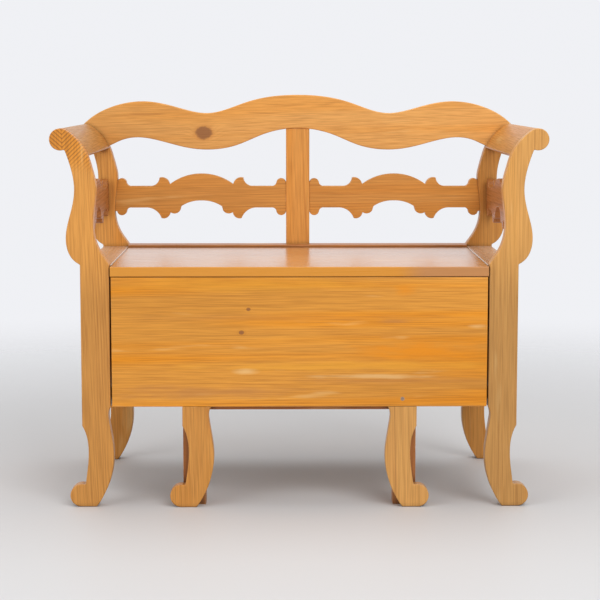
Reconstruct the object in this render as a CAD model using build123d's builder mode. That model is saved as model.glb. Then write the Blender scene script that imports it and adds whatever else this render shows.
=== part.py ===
"""Scrolled pine settle: a storage box seat with a lift-up lid and a front that pulls out on its own legs.

Millimetres. +X runs to the right seen from the front, +Y to the back and +Z up.
The origin lies on the floor, under the middle of the settle.
"""

import os
from math import acos, cos, degrees, radians, sin

from build123d import *

os.makedirs("parts", exist_ok=True)

# Main sizes
BOX_HALF = 383.0  # middle of the settle to the inner edge of a post
POST_WIDTH = 59.0  # straight stretch of a post, seen from the front
POST_THICK = 30.0
POST_SPAN = 470.0  # front face of a front post to front face of a rear post
FRONT_PROUD = 6.0  # pull-out front and lid ahead of the posts
SEAT_HEIGHT = 493.0
LID_THICK = 20.0
BOX_BOTTOM = 208.0  # lower edge of the front panel and the box ends

# Scrolled feet, shared by the posts and the pull-out legs
FOOT_TOP = 168.0
FOOT_SCROLL_R = 23.5
FOOT_SCROLL_OUT = 2.5  # scroll centre beyond the leg's outer edge
SHANK_HOLLOW = 12.5
HEEL_SET = 28.0  # outer edge to the inner end of the foot's flat sole
BELLY = 4.8  # swell of the shank past the leg's inner edge
BELLY_Z = 112.0
NOTCH = 5.0  # hollow above the swell
NOTCH_Z = 184.0
SWELL_FALL = 12.0  # foot's top to where the swell ends
CURL_ANGLE = 110.0  # degrees round the foot's scroll where the shank runs into it
SHANK_FALLS = (19.0, 50.0, 84.0)  # below the foot's top, where the shank's hollow is measured
HEEL_CURVE = ((14.0, 28.0), (0.6, 64.0))  # from the leg's inner edge, and up from the floor

# Post heads
ARM_RISE = 277.0  # seat to the top of the arm
ARM_SCROLL_R = 22.0
ARM_SCROLL_OUT = 36.0  # scroll centre beyond the post's outer edge
HEAD_R = 111.4
HEAD_LEAN = 56.8  # degrees from the scroll's centre down to the head's centre
HEAD_SWEEP = 41.0  # degrees of the head's arc
SCROLL_TURN = 234.8  # degrees of the scroll's arc
ARM_THICK = 24.0
ARM_SWEEP = 34.0  # degrees of the head's arc that the arm follows
ARM_TENON_R = 6.0
TENON = 14.0  # length of the round and flat tenons
NECK_START = 4.0  # above the seat
NECK_INNER = ((18.0, 30.0), (30.5, 67.0), (25.0, 150.0))  # past the inner edge, and above the seat
NECK_OUTER = ((18.0, 206.0), (9.5, 152.0), (18.0, 106.0), (27.5, 60.0), (19.0, 21.0))  # past the outer edge

# Back
CREST_RISE = 342.0  # seat to the top of the crest
CREST_DEEP = 75.0  # height of the crest's wavy band
CREST_UPPER = ((0.247, 17.0), (0.423, 41.0), (0.577, 27.0), (0.73, 14.5), (0.9, 31.0))  # along it, and its drop
CREST_LOWER = (
    (0.909, 43.0),
    (0.841, 28.3),
    (0.766, 20.5),
    (0.669, 26.0),
    (0.515, 44.3),
    (0.418, 48.0),
    (0.285, 37.5),
    (0.16, 13.0),
    (0.08, 3.0),
)
CREST_INTO = (5.0, 1.0)  # crest's upper end past the scroll's centre, and below its top
CREST_ROOT = (62.0, 48.0)  # crest's lower end past the post's inner edge, and below the band
STILE_WIDTH = 53.0
STILE_THICK = 24.0
RAIL_THICK = 18.0
RAIL_RISE = 112.0  # seat to the middle line of the carved rails
RAIL_WAIST = 24.4  # half height of a rail between its lobes
RAIL_TENON = 22.0
RAIL_ROOT = 27.0  # post's inner edge to where its neck meets the rail's middle line
ARCH_HIGH = 28.0  # top of the rail's arch above its waist
ARCH_FLANK = ((41.0, 21.0), (72.0, 4.0))  # from the rail's middle, and above its waist
UPPER_LOBE = ((79.0, 16.0), (95.0, 19.0), (100.0, 7.0), (118.0, 0.0))  # its crown, cusp, hollow and waist
LOWER_LOBE = ((128.0, 0.0), (105.0, 6.0), (91.0, 24.0), (78.0, 22.5), (71.0, 10.5))  # the same, below the waist
INNER_LOBE = ((59.0, 13.5), (49.0, 7.0))
ARCH_SPRING = ((46.0, 3.0), (26.0, 12.5))  # underside of the arch, above the waist's underside
ARCH_RISE = 16.0
END_LOBE = ((38.0, 0.0), (33.0, 2.5), (30.0, 7.0), (19.5, 17.5), (8.0, 8.0))  # back from the rail's end
ARM_RAIL_SET = 45.0  # post's inner edge to the arm rail's inner face
TENON_SHOULDER = 3.0
STILE_SHOULDER = 10.0
RAIL_OVER = 8.0  # a rail's blank runs this far into the curved post before it is scribed to it
STRIP_PROUD = 5.0  # rear strip above the lid
STRIP_WIDTH = 48.0

# Box
PANEL_THICK = 26.0
PANEL_GAP = 3.0  # each side of the front panel
LID_GAP = 1.5
LID_PANEL_GAP = 1.0
END_THICK = 22.0
END_SET = 16.0  # box end behind the post's outer edge
END_TONGUE = 10.0
BEARER_HOUSING = 12.0
REST_CLEAR = 14.0  # each end of a lid rest
BACK_THICK = 20.0
BACK_SET = 7.0  # box back ahead of the rear posts' back face
REST_WIDTH = 38.0
REST_HEIGHT = 20.0
BATTEN_WIDTH = 60.0
BATTEN_THICK = 22.0
BATTEN_SET = 133.0  # post's inner edge to the middle of a lid batten
BATTEN_CLEAR = 40.0  # each end of a lid batten from the box's inside

# Pivot pins of the lid
PIN_R = 4.0
PIN_LENGTH = 62.0
PIN_RUNNING = 0.08
PIN_SEAT = 0.02
LID_BACK_GAP = 2.0

# Pull-out front and its slats
LEG_SET = 145.0  # post's inner edge to a pull-out leg's outer edge
LEG_POST = 46.0
LEG_POST_DROP = 33.0  # top of a leg post below the lid
SLAT_WIDTH = 56.0
SLAT_THICK = 18.0
SLAT_LEVEL = 232.0  # underside of the fixed slats
SLIDE_CLEAR = 0.5
BEARER_WIDE = 25.0
BEARER_HIGH = 22.0
LEDGER_WIDE = 28.0
LEDGER_DROP = 10.0  # middle ledger below the front panel
BEARER_SET = 9.0  # fixed bearer behind the leg posts
PULL_REAR = 29.0  # moving bearer ahead of the rear ledger, when the front is shut
SLAT_STEP = 82.0
SLAT_POST_GAP = 2.0
SLAT_END_GAP = 34.0  # outer fixed slat to the box end
LEDGER_END = 8.0
NOTCH_DEEP = 3.0
NOTCH_SIDE = 3.0
SCREW_HEAD_R = 4.0
SCREW_R = 2.2
SCREW_LENGTH = 48.0
SCREW_HEAD_HIGH = 3.0
SCREW_SIDE = 6.0  # screw in the front panel, off the leg post's middle
SCREW_UP = 16.0  # screw above the panel's lower edge
LID_SCREW_BITE = 12.0  # lid screws into the lid
LID_SCREW_END = 40.0

# Rounding
CORNER_R = 3.0  # corners of the sawn outlines
CUSP_R = 1.0  # corners of the carved rails
EDGE_R = 2.0
FINE_EDGE_R = 0.8

# Places that follow from the sizes
OUTER = BOX_HALF + POST_WIDTH
LEG_OUTER = BOX_HALF - LEG_SET
BATTEN_X = BOX_HALF - BATTEN_SET
DEPTH = POST_SPAN + POST_THICK + FRONT_PROUD
FRONT = -DEPTH / 2
POST_FRONT = FRONT + FRONT_PROUD
POST_BACK = POST_FRONT + POST_THICK
REAR_FRONT = POST_FRONT + POST_SPAN
REAR_BACK = REAR_FRONT + POST_THICK
LID_UNDER = SEAT_HEIGHT - LID_THICK
STRIP_TOP = SEAT_HEIGHT + STRIP_PROUD
BACK_FRONT = REAR_BACK - BACK_SET - BACK_THICK
STRIP_BACK = REAR_BACK - BACK_SET
STRIP_FRONT = STRIP_BACK - STRIP_WIDTH
PIVOT_R = LID_THICK / 2
PIVOT_Y = STRIP_FRONT - LID_BACK_GAP - PIVOT_R
PIVOT_Z = SEAT_HEIGHT - PIVOT_R
END_OUT = OUTER - END_SET
END_IN = END_OUT - END_THICK
ARM_TOP = SEAT_HEIGHT + ARM_RISE
SCROLL = (OUTER + ARM_SCROLL_OUT, ARM_TOP - ARM_SCROLL_R)
HEAD = (
    SCROLL[0] + (HEAD_R - ARM_SCROLL_R) * cos(radians(HEAD_LEAN)),
    SCROLL[1] - (HEAD_R - ARM_SCROLL_R) * sin(radians(HEAD_LEAN)),
)
RAIL_Z = SEAT_HEIGHT + RAIL_RISE
RAIL_BACK = REAR_BACK - (POST_THICK - RAIL_THICK) / 2
CREST_TOP = SEAT_HEIGHT + CREST_RISE
PANEL_BACK = FRONT + PANEL_THICK
PULL_LEVEL = SLAT_LEVEL + SLIDE_CLEAR
FIXED_FRONT = PANEL_BACK + LEG_POST + BEARER_SET
FIXED_BACK = FIXED_FRONT + BEARER_WIDE
LEDGER_FRONT = BACK_FRONT - BEARER_HIGH
PULL_BACK = LEDGER_FRONT - PULL_REAR
PULL_BEARER = PULL_BACK - BEARER_WIDE
CREST_LOW = CREST_TOP - CREST_DEEP
STILE_MIDDLE = (REAR_FRONT + REAR_BACK) / 2
RAIL_END = BOX_HALF + RAIL_ROOT
ARM_RAIL_X = BOX_HALF + ARM_RAIL_SET
SLAT_TOP = SLAT_LEVEL + SLAT_THICK
PULL_OUTER = LEG_OUTER + SLAT_POST_GAP + SLAT_WIDTH / 2
FIXED_OUTER = END_IN - SLAT_END_GAP - SLAT_WIDTH / 2
PULL_SLATS = (-PULL_OUTER, -SLAT_STEP, SLAT_STEP, PULL_OUTER)
FIXED_SLATS = (-FIXED_OUTER, -2 * SLAT_STEP, 0.0, 2 * SLAT_STEP, FIXED_OUTER)
SCREW_AT = (LEG_OUTER - LEG_POST / 2 - SCREW_SIDE, BOX_BOTTOM + SCREW_UP)
LID_SCREWS = [
    (side * BATTEN_X, y, LID_UNDER - BATTEN_THICK)
    for side in (-1, 1)
    for y in (FIXED_FRONT + LID_SCREW_END, PIVOT_Y - BATTEN_CLEAR - LID_SCREW_END)
]
LID_SCREW_LENGTH = BATTEN_THICK + LID_SCREW_BITE
STILE_TENON = (STILE_WIDTH / 2 - STILE_SHOULDER, STILE_THICK / 2 - TENON_SHOULDER)
ON_BASE = (Align.CENTER, Align.CENTER, Align.MIN)


def at_depth(y):
    """Upright plane seen from the front, whose sketches grow towards the front."""
    return Plane.XZ.offset(-y)


def block(low, high, mode=Mode.ADD):
    """Rectangular solid between two corners."""
    size = [top - bottom for bottom, top in zip(low, high)]
    with Locations(tuple(low)):
        Box(*size, align=(Align.MIN, Align.MIN, Align.MIN), mode=mode)


def on_circle(centre, radius, angle):
    """Point on a circle, by its angle in degrees."""
    return (centre[0] + radius * cos(radians(angle)), centre[1] + radius * sin(radians(angle)))


def soften(profile, radius, square_level=None):
    """Round the sharp corners of a sawn outline, apart from those at a level where it butts."""
    sharp = []
    for corner in profile.vertices():
        if corner.Y == square_level:
            continue
        point = Vector(*corner)
        runs = [edge % end for edge in profile.edges() for end in (0, 1) if (edge @ end - point).length < 0.001]
        turn = runs[0].get_angle(runs[1])
        if min(turn, 180 - turn) > 5:
            sharp.append(corner)
    fillet(sharp, radius=radius)


def round_outline(piece, radius):
    """Round the arrises along the front and back faces of a sawn board."""
    faces = piece.faces().sort_by(Axis.Y)
    fillet(faces[0].edges() + faces[-1].edges(), radius=radius)


def save(piece, name):
    """Label a finished piece and write it to its own file."""
    piece.part.label = name
    export_step(piece.part, f"parts/{name}.step")


def save_pair(piece, name):
    """Write a right hand piece and its mirror image."""
    save(piece, f"{name}_right")
    with BuildPart() as twin:
        mirror(piece.part, about=Plane.YZ)
    save(twin, f"{name}_left")


def draw_foot(outer, inner):
    """Edges of a scrolled foot, from a leg's outer edge round its sole to its inner edge."""
    scroll = (outer + FOOT_SCROLL_OUT, FOOT_SCROLL_R)
    curl = on_circle(scroll, FOOT_SCROLL_R, CURL_ANGLE)
    hollow = [
        (outer - share * SHANK_HOLLOW, FOOT_TOP - fall) for share, fall in zip((0.65, 1, 0.85), SHANK_FALLS)
    ]
    heel = [(inner + across, up) for across, up in HEEL_CURVE]
    swell_end = (inner + HEEL_CURVE[-1][0], FOOT_TOP - SWELL_FALL)
    notch = (inner + NOTCH, NOTCH_Z)
    Spline((outer, FOOT_TOP), *hollow, curl)
    ThreePointArc(curl, on_circle(scroll, FOOT_SCROLL_R, 0), on_circle(scroll, FOOT_SCROLL_R, -90))
    Line((scroll[0], 0), (outer - HEEL_SET, 0))
    Spline((outer - HEEL_SET, 0), *heel, (inner - BELLY, BELLY_Z), swell_end, notch)
    ThreePointArc(notch, (inner + 0.75 * NOTCH, (notch[1] + 2 * BOX_BOTTOM) / 3), (inner, BOX_BOTTOM))


def post_profile():
    """Outline of a right hand post: scrolled head, lyre neck, straight box stretch and foot."""
    tangent_angle = 180 - HEAD_LEAN
    head_end = on_circle(HEAD, HEAD_R, tangent_angle + HEAD_SWEEP)
    scroll_end = on_circle(SCROLL, ARM_SCROLL_R, tangent_angle - SCROLL_TURN)
    fall = radians(tangent_angle + HEAD_SWEEP)
    neck = SEAT_HEIGHT + NECK_START
    with BuildSketch() as profile:
        with BuildLine():
            Line((BOX_HALF, BOX_BOTTOM), (BOX_HALF, neck))
            Spline(
                (BOX_HALF, neck),
                *[(BOX_HALF + across, SEAT_HEIGHT + up) for across, up in NECK_INNER],
                head_end,
                tangents=((0.55, 0.84), (sin(fall), -cos(fall))),
            )
            CenterArc(HEAD, HEAD_R, tangent_angle + HEAD_SWEEP, -HEAD_SWEEP)
            CenterArc(SCROLL, ARM_SCROLL_R, tangent_angle, -SCROLL_TURN)
            Spline(
                scroll_end,
                *[(OUTER + across, SEAT_HEIGHT + up) for across, up in NECK_OUTER],
                (OUTER, neck),
            )
            Line((OUTER, neck), (OUTER, FOOT_TOP))
            draw_foot(OUTER, BOX_HALF)
        make_face()
        soften(profile, CORNER_R)
    return profile.sketch


def leg_profile():
    """Outline of a right hand pull-out leg, which hangs under the front panel."""
    inner = LEG_OUTER - POST_WIDTH
    with BuildSketch() as profile:
        with BuildLine():
            Line((inner, BOX_BOTTOM), (LEG_OUTER, BOX_BOTTOM))
            Line((LEG_OUTER, BOX_BOTTOM), (LEG_OUTER, FOOT_TOP))
            draw_foot(LEG_OUTER, inner)
        make_face()
        soften(profile, CORNER_R, square_level=BOX_BOTTOM)
    return profile.sketch


def arm_profile():
    """Section of an arm: a band that follows the head of the posts up to the scroll's top."""
    top_angle = 180 - HEAD_LEAN
    low_angle = top_angle + ARM_SWEEP
    inner_r = HEAD_R - ARM_THICK
    high_angle = degrees(acos((SCROLL[0] - HEAD[0]) / inner_r))
    with BuildSketch() as profile:
        with BuildLine():
            CenterArc(HEAD, HEAD_R, low_angle, -ARM_SWEEP)
            CenterArc(SCROLL, ARM_SCROLL_R, top_angle, 90 - top_angle)
            Line((SCROLL[0], ARM_TOP), on_circle(HEAD, inner_r, high_angle))
            CenterArc(HEAD, inner_r, high_angle, low_angle - high_angle)
            Line(on_circle(HEAD, inner_r, low_angle), on_circle(HEAD, HEAD_R, low_angle))
        make_face()
    return profile.sketch


def crest_profile():
    """Wavy band of the crest, run a little way into the post heads."""
    tip = (SCROLL[0] + CREST_INTO[0], ARM_TOP - CREST_INTO[1])
    root = (BOX_HALF + CREST_ROOT[0], CREST_LOW - CREST_ROOT[1])
    upper = [(along * SCROLL[0], CREST_TOP - drop) for along, drop in CREST_UPPER]
    lower = [(along * SCROLL[0], CREST_LOW - drop) for along, drop in CREST_LOWER]
    with BuildSketch() as profile:
        with BuildLine() as outline:
            Spline((0, CREST_TOP), *upper, tip, tangents=((1, 0), (0.7, -0.7)))
            Line(tip, root)
            Spline(root, *lower, (0, CREST_LOW), tangents=((-0.7, 0.7), (-1, 0)))
            mirror(outline.line, about=Plane.YZ)
        make_face()
    return profile.sketch


def rail_profile(half_length):
    """Carved rail about its own middle: an arch with paired lobes, slim waists and lobed ends."""
    top = [(x, RAIL_WAIST + rise) for x, rise in ((0, ARCH_HIGH), *ARCH_FLANK, *UPPER_LOBE)]
    low = [(x, -RAIL_WAIST - drop) for x, drop in (*LOWER_LOBE, *INNER_LOBE)]
    spring = [(x, rise - RAIL_WAIST) for x, rise in (*ARCH_SPRING, (0, ARCH_RISE))]
    end = [(half_length - back, RAIL_WAIST + rise) for back, rise in END_LOBE]
    foot = [(x, -z) for x, z in reversed(end)]
    upper_corner = (half_length, end[-1][1])
    lower_corner = (half_length, foot[0][1])
    with BuildSketch() as profile:
        with BuildLine() as outline:
            ThreePointArc(*top[0:3])
            ThreePointArc(*top[2:5])
            ThreePointArc(*top[4:7])
            Line(top[6], end[0])
            ThreePointArc(*end[0:3])
            ThreePointArc(*end[2:5])
            Polyline(end[4], upper_corner, lower_corner, foot[0])
            ThreePointArc(*foot[0:3])
            ThreePointArc(*foot[2:5])
            Line(foot[4], low[0])
            ThreePointArc(*low[0:3])
            ThreePointArc(*low[2:5])
            ThreePointArc(*low[4:7])
            Line(low[6], spring[0])
            ThreePointArc(*spring)
            mirror(outline.line, about=Plane.YZ)
        make_face()
        soften(profile, CUSP_R)
    return profile.sketch


def rail_tenon(x, mode=Mode.ADD):
    """Flat tenon of a back rail, or its mortise, that reaches both ways from x."""
    block(
        (x - TENON, RAIL_BACK - RAIL_THICK + TENON_SHOULDER, RAIL_Z - RAIL_TENON / 2),
        (x + TENON, RAIL_BACK - TENON_SHOULDER, RAIL_Z + RAIL_TENON / 2),
        mode=mode,
    )


def arm_rail_tenon(y, mode=Mode.ADD):
    """Flat tenon of an arm rail, or its mortise, that reaches both ways from y."""
    block(
        (ARM_RAIL_X + TENON_SHOULDER, y - TENON, RAIL_Z - RAIL_TENON / 2),
        (ARM_RAIL_X + RAIL_THICK - TENON_SHOULDER, y + TENON, RAIL_Z + RAIL_TENON / 2),
        mode=mode,
    )


def arm_tenon(y, mode=Mode.ADD):
    """Round tenon of an arm, or its socket, that reaches both ways from y."""
    middle = on_circle(HEAD, HEAD_R - ARM_THICK / 2, 180 - HEAD_LEAN + ARM_SWEEP / 3)
    with BuildSketch(at_depth(y), mode=Mode.PRIVATE) as section:
        with Locations(middle):
            Circle(ARM_TENON_R)
    extrude(section.sketch, amount=TENON, both=True, mode=mode)


def stile_tenon(z, mode=Mode.ADD):
    """Flat tenon of the stile, or its mortise, that reaches both ways from z."""
    block(
        (-STILE_TENON[0], STILE_MIDDLE - STILE_TENON[1], z - TENON),
        (STILE_TENON[0], STILE_MIDDLE + STILE_TENON[1], z + TENON),
        mode=mode,
    )


# Posts, with grooves for the box ends and sockets for the arms and rails
with BuildPart() as front_post:
    with BuildSketch(at_depth(POST_BACK)):
        add(post_profile())
    extrude(amount=POST_THICK)
    round_outline(front_post, EDGE_R)
    block((END_IN, POST_BACK - END_TONGUE, BOX_BOTTOM), (END_OUT, POST_BACK, LID_UNDER), mode=Mode.SUBTRACT)
    arm_rail_tenon(POST_BACK, mode=Mode.SUBTRACT)
    arm_tenon(POST_BACK, mode=Mode.SUBTRACT)
save_pair(front_post, "front_post")

with BuildPart() as rear_post:
    with BuildSketch(at_depth(REAR_BACK)):
        add(post_profile())
    extrude(amount=POST_THICK)
    round_outline(rear_post, EDGE_R)
    block((END_IN, REAR_FRONT, BOX_BOTTOM), (END_OUT, REAR_FRONT + END_TONGUE, LID_UNDER), mode=Mode.SUBTRACT)
    arm_rail_tenon(REAR_FRONT, mode=Mode.SUBTRACT)
    arm_tenon(REAR_FRONT, mode=Mode.SUBTRACT)
    rail_tenon(RAIL_END, mode=Mode.SUBTRACT)
save_pair(rear_post, "rear_post")

# Arms and their carved rails
with BuildPart() as arm:
    with BuildSketch(at_depth(REAR_FRONT)):
        add(arm_profile())
    extrude(amount=REAR_FRONT - POST_BACK)
    fillet(arm.edges().filter_by(Axis.Y).sort_by(Axis.Z)[:2], radius=EDGE_R)
    arm_tenon(POST_BACK)
    arm_tenon(REAR_FRONT)
save_pair(arm, "arm")

with BuildPart() as arm_rail:
    with BuildSketch(Plane.YZ.offset(ARM_RAIL_X)):
        with Locations(((POST_BACK + REAR_FRONT) / 2, RAIL_Z)):
            add(rail_profile((REAR_FRONT - POST_BACK) / 2))
    extrude(amount=RAIL_THICK)
    sides = arm_rail.faces().sort_by(Axis.X)
    fillet(sides[0].edges() + sides[-1].edges(), radius=FINE_EDGE_R)
    arm_rail_tenon(POST_BACK)
    arm_rail_tenon(REAR_FRONT)
save_pair(arm_rail, "arm_rail")

# Crest, stile and carved back rails
with BuildPart() as crest_rail:
    with BuildSketch(at_depth(REAR_BACK)):
        add(crest_profile())
        for head_outline in (post_profile(), mirror(post_profile(), about=Plane.YZ, mode=Mode.PRIVATE)):
            add(head_outline, mode=Mode.SUBTRACT)
    extrude(amount=POST_THICK)
    waves = crest_rail.edges().filter_by(GeomType.BSPLINE).filter_by(lambda edge: edge.length > BOX_HALF)
    fillet(waves, radius=EDGE_R)
    stile_tenon(CREST_LOW, mode=Mode.SUBTRACT)
save(crest_rail, "crest_rail")

with BuildPart() as back_stile:
    block(
        (-STILE_WIDTH / 2, STILE_MIDDLE - STILE_THICK / 2, STRIP_TOP),
        (STILE_WIDTH / 2, STILE_MIDDLE + STILE_THICK / 2, CREST_LOW + EDGE_R),
    )
    with BuildSketch(at_depth(REAR_BACK)):
        add(crest_profile())
    extrude(amount=POST_THICK, mode=Mode.SUBTRACT)
    fillet(back_stile.edges().filter_by(Axis.Z), radius=EDGE_R)
    stile_tenon(CREST_LOW - EDGE_R)
    stile_tenon(STRIP_TOP)
    for side in (-1, 1):
        rail_tenon(side * STILE_WIDTH / 2, mode=Mode.SUBTRACT)
save(back_stile, "back_stile")

with BuildPart() as back_rail:
    rail_middle = (STILE_WIDTH / 2 + RAIL_END) / 2
    with BuildSketch(at_depth(RAIL_BACK)):
        with Locations((rail_middle, RAIL_Z)):
            add(rail_profile(RAIL_END + RAIL_OVER - rail_middle))
    extrude(amount=RAIL_THICK)
    round_outline(back_rail, FINE_EDGE_R)
    with BuildSketch(at_depth(REAR_BACK)):
        add(post_profile())
        with Locations((0, RAIL_Z)):
            Rectangle(STILE_WIDTH, 2 * RAIL_RISE)
    extrude(amount=POST_THICK, mode=Mode.SUBTRACT)
    rail_tenon(RAIL_END)
    rail_tenon(STILE_WIDTH / 2)
save_pair(back_rail, "back_rail")

# Fixed seat: rear strip, end boards, box ends, box back and the rests that the lid lies on
with BuildPart() as rear_strip:
    block((-BOX_HALF, STRIP_FRONT, LID_UNDER), (BOX_HALF, STRIP_BACK, STRIP_TOP))
    fillet(rear_strip.edges().filter_by(Axis.X).sort_by(Axis.Y)[:2].sort_by(Axis.Z)[-1], radius=EDGE_R)
    stile_tenon(STRIP_TOP, mode=Mode.SUBTRACT)
save(rear_strip, "rear_strip")

with BuildPart() as seat_end:
    block((BOX_HALF, POST_BACK, LID_UNDER), (OUTER, REAR_FRONT, SEAT_HEIGHT))
    fillet(seat_end.edges().filter_by(Axis.Y).sort_by(Axis.Z)[-2:], radius=EDGE_R)
    with Locations(Plane.YZ.offset(BOX_HALF)):
        with Locations((PIVOT_Y, PIVOT_Z)):
            Cylinder(PIN_R + PIN_SEAT, PIN_LENGTH, mode=Mode.SUBTRACT)
save_pair(seat_end, "seat_end")

with BuildPart() as end_panel:
    block((END_IN, POST_BACK - END_TONGUE, BOX_BOTTOM), (END_OUT, REAR_FRONT + END_TONGUE, LID_UNDER))
    block(
        (END_IN, FIXED_FRONT, SLAT_LEVEL - BEARER_HIGH),
        (END_IN + BEARER_HOUSING, FIXED_BACK, SLAT_LEVEL),
        mode=Mode.SUBTRACT,
    )
save_pair(end_panel, "end_panel")

with BuildPart() as lid_rest:
    block(
        (END_IN - REST_WIDTH, POST_BACK + REST_CLEAR, LID_UNDER - REST_HEIGHT),
        (END_IN, PIVOT_Y - REST_CLEAR, LID_UNDER),
    )
    fillet(lid_rest.edges().filter_by(Axis.Y).sort_by(Axis.Z)[:1], radius=EDGE_R)
save_pair(lid_rest, "lid_rest")

with BuildPart() as back_panel:
    block((-BOX_HALF, BACK_FRONT, BOX_BOTTOM), (BOX_HALF, STRIP_BACK, LID_UNDER))
save(back_panel, "back_panel")

# Lid, its battens, their screws and the pins that it swings on
with BuildPart() as lid_board:
    half = BOX_HALF - LID_GAP
    block((-half, FRONT, LID_UNDER), (half, PIVOT_Y, SEAT_HEIGHT))
    fillet(lid_board.edges().filter_by(Axis.X).sort_by(Axis.Y)[:2], radius=EDGE_R)
    fillet(lid_board.edges().filter_by(Axis.Y).sort_by(Axis.Z)[-2:], radius=FINE_EDGE_R)
    with Locations(Plane.YZ):
        with Locations((PIVOT_Y, PIVOT_Z)):
            Cylinder(PIVOT_R, 2 * half)
    for side in (-1, 1):
        with Locations(Plane.YZ.offset(side * BOX_HALF)):
            with Locations((PIVOT_Y, PIVOT_Z)):
                Cylinder(PIN_R + PIN_RUNNING, PIN_LENGTH + 2 * LID_GAP, mode=Mode.SUBTRACT)
    with Locations(*LID_SCREWS):
        Cylinder(SCREW_R + PIN_SEAT, LID_SCREW_LENGTH, align=ON_BASE, mode=Mode.SUBTRACT)
save(lid_board, "lid_board")

with BuildPart() as lid_batten:
    block(
        (BATTEN_X - BATTEN_WIDTH / 2, FIXED_FRONT, LID_UNDER - BATTEN_THICK),
        (BATTEN_X + BATTEN_WIDTH / 2, PIVOT_Y - BATTEN_CLEAR, LID_UNDER),
    )
    chamfer(lid_batten.faces().sort_by(Axis.Z)[0].edges(), length=EDGE_R)
    with Locations(*LID_SCREWS):
        Cylinder(SCREW_R + PIN_SEAT, LID_SCREW_LENGTH, align=ON_BASE, mode=Mode.SUBTRACT)
        Cylinder(SCREW_HEAD_R + PIN_SEAT, SCREW_HEAD_HIGH, align=ON_BASE, mode=Mode.SUBTRACT)
save_pair(lid_batten, "lid_batten")

with BuildPart() as lid_screws:
    with Locations(*LID_SCREWS):
        Cylinder(SCREW_R, LID_SCREW_LENGTH, align=ON_BASE)
        Cylinder(SCREW_HEAD_R, SCREW_HEAD_HIGH, align=ON_BASE)
save(lid_screws, "lid_screws")

with BuildPart() as lid_pivot:
    with Locations(Plane.YZ.offset(BOX_HALF)):
        with Locations((PIVOT_Y, PIVOT_Z)):
            Cylinder(PIN_R, PIN_LENGTH)
save_pair(lid_pivot, "lid_pivot")

# Fixed floor of the box: two bearers and the slats that the pull-out slats run between
with BuildPart() as front_bearer:
    reach = END_IN + BEARER_HOUSING
    block((-reach, FIXED_FRONT, SLAT_LEVEL - BEARER_HIGH), (reach, FIXED_BACK, SLAT_LEVEL))
save(front_bearer, "front_bearer")

with BuildPart() as rear_ledger:
    block((-BOX_HALF, LEDGER_FRONT, SLAT_LEVEL - BEARER_HIGH), (BOX_HALF, BACK_FRONT, SLAT_LEVEL))
save(rear_ledger, "rear_ledger")

for number, x in enumerate(FIXED_SLATS, start=1):
    with BuildPart() as fixed_slat:
        block((x - SLAT_WIDTH / 2, FIXED_FRONT, SLAT_LEVEL), (x + SLAT_WIDTH / 2, BACK_FRONT, SLAT_TOP))
        fillet(fixed_slat.edges().filter_by(Axis.Y).sort_by(Axis.Z)[-2:], radius=EDGE_R)
    save(fixed_slat, f"fixed_slat_{number}")

# Pull-out front: panel, legs, leg posts, ledgers, slats and the bearer that ties the slats
with BuildPart() as front_panel:
    half = BOX_HALF - PANEL_GAP
    block((-half, FRONT, BOX_BOTTOM), (half, PANEL_BACK, LID_UNDER - LID_PANEL_GAP))
    fillet(front_panel.faces().sort_by(Axis.Y)[0].edges(), radius=EDGE_R)
    with Locations(at_depth(PANEL_BACK)):
        with Locations(SCREW_AT):
            Cylinder(SCREW_R + PIN_SEAT, 2 * PANEL_THICK, mode=Mode.SUBTRACT)
    with Locations(at_depth(FRONT)):
        with Locations(SCREW_AT):
            Cylinder(SCREW_HEAD_R + PIN_SEAT, 2 * SCREW_HEAD_HIGH, mode=Mode.SUBTRACT)
save(front_panel, "front_panel")

with BuildPart() as panel_screw:
    with Locations(at_depth(FRONT + SCREW_LENGTH)):
        with Locations(SCREW_AT):
            Cylinder(SCREW_R, SCREW_LENGTH, align=ON_BASE)
    with Locations(at_depth(FRONT + SCREW_HEAD_HIGH)):
        with Locations(SCREW_AT):
            Cylinder(SCREW_HEAD_R, SCREW_HEAD_HIGH, align=ON_BASE)
save(panel_screw, "panel_screw")

with BuildPart() as front_leg:
    with BuildSketch(at_depth(PANEL_BACK)):
        add(leg_profile())
    extrude(amount=PANEL_THICK)
    sawn = front_leg.edges().filter_by(Plane.XZ).filter_by(lambda edge: edge.center().Z < BOX_BOTTOM - EDGE_R)
    fillet(sawn, radius=EDGE_R)
save_pair(front_leg, "front_leg")

for side, name in ((1, "leg_post_right"), (-1, "leg_post_left")):
    with BuildPart() as leg_post:
        middle = side * (LEG_OUTER - LEG_POST / 2)
        block(
            (middle - LEG_POST / 2, PANEL_BACK, 0),
            (middle + LEG_POST / 2, PANEL_BACK + LEG_POST, LID_UNDER - LEG_POST_DROP),
        )
        fillet(leg_post.edges().filter_by(Axis.Z).sort_by(Axis.Y)[-2:], radius=EDGE_R)
        with Locations(at_depth(FRONT + SCREW_LENGTH)):
            with Locations(SCREW_AT):
                Cylinder(SCREW_R + PIN_SEAT, SCREW_LENGTH, align=ON_BASE, mode=Mode.SUBTRACT)
    save(leg_post, name)

with BuildPart() as middle_ledger:
    half = LEG_OUTER - LEG_POST
    block((-half, PANEL_BACK, BOX_BOTTOM - LEDGER_DROP), (half, PANEL_BACK + LEDGER_WIDE, PULL_LEVEL))
save(middle_ledger, "middle_ledger")

with BuildPart() as side_ledger:
    block(
        (LEG_OUTER, PANEL_BACK, PULL_LEVEL - BEARER_HIGH),
        (BOX_HALF - PANEL_GAP - LEDGER_END, PANEL_BACK + LEDGER_WIDE, PULL_LEVEL),
    )
save_pair(side_ledger, "side_ledger")

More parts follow.
